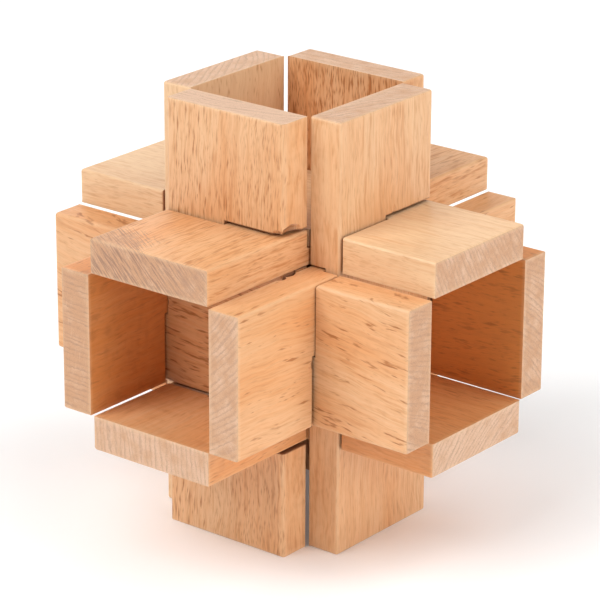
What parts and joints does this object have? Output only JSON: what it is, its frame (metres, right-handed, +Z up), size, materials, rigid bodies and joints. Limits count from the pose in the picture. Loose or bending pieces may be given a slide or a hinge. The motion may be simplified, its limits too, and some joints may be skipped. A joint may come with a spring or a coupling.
{
  "type": "wooden burr puzzle",
  "caption": "Interlocking wooden burr of identical notched boards in crossing square tubes; its two halves slide apart to open it.",
  "frame": {"origin": "on the ground, under the middle of the puzzle", "axes": "+Z up along the upright boards, +X to the right along the crosswise boards, +Y to the back along the lengthwise boards"},
  "size_m": [0.0754, 0.0754, 0.075],
  "materials": {
    "beech": "bare beech, planed and sanded, no varnish"
  },
  "bodies": {
    "back_half": {"upright_front": "beech", "upright_back": "beech", "crosswise_top": "beech", "crosswise_bottom": "beech", "lengthwise_top": "beech", "lengthwise_bottom": "beech"},
    "front_half": {"crosswise_front": "beech", "crosswise_back": "beech", "lengthwise_left": "beech", "lengthwise_right": "beech", "upright_left": "beech", "upright_right": "beech"}
  },
  "joints": [
    {"name": "halves_slide", "type": "slide", "parent": "back_half", "child": "front_half", "axis": [0, -1, 0], "range_m": [0, 0.0248]}
  ]
}
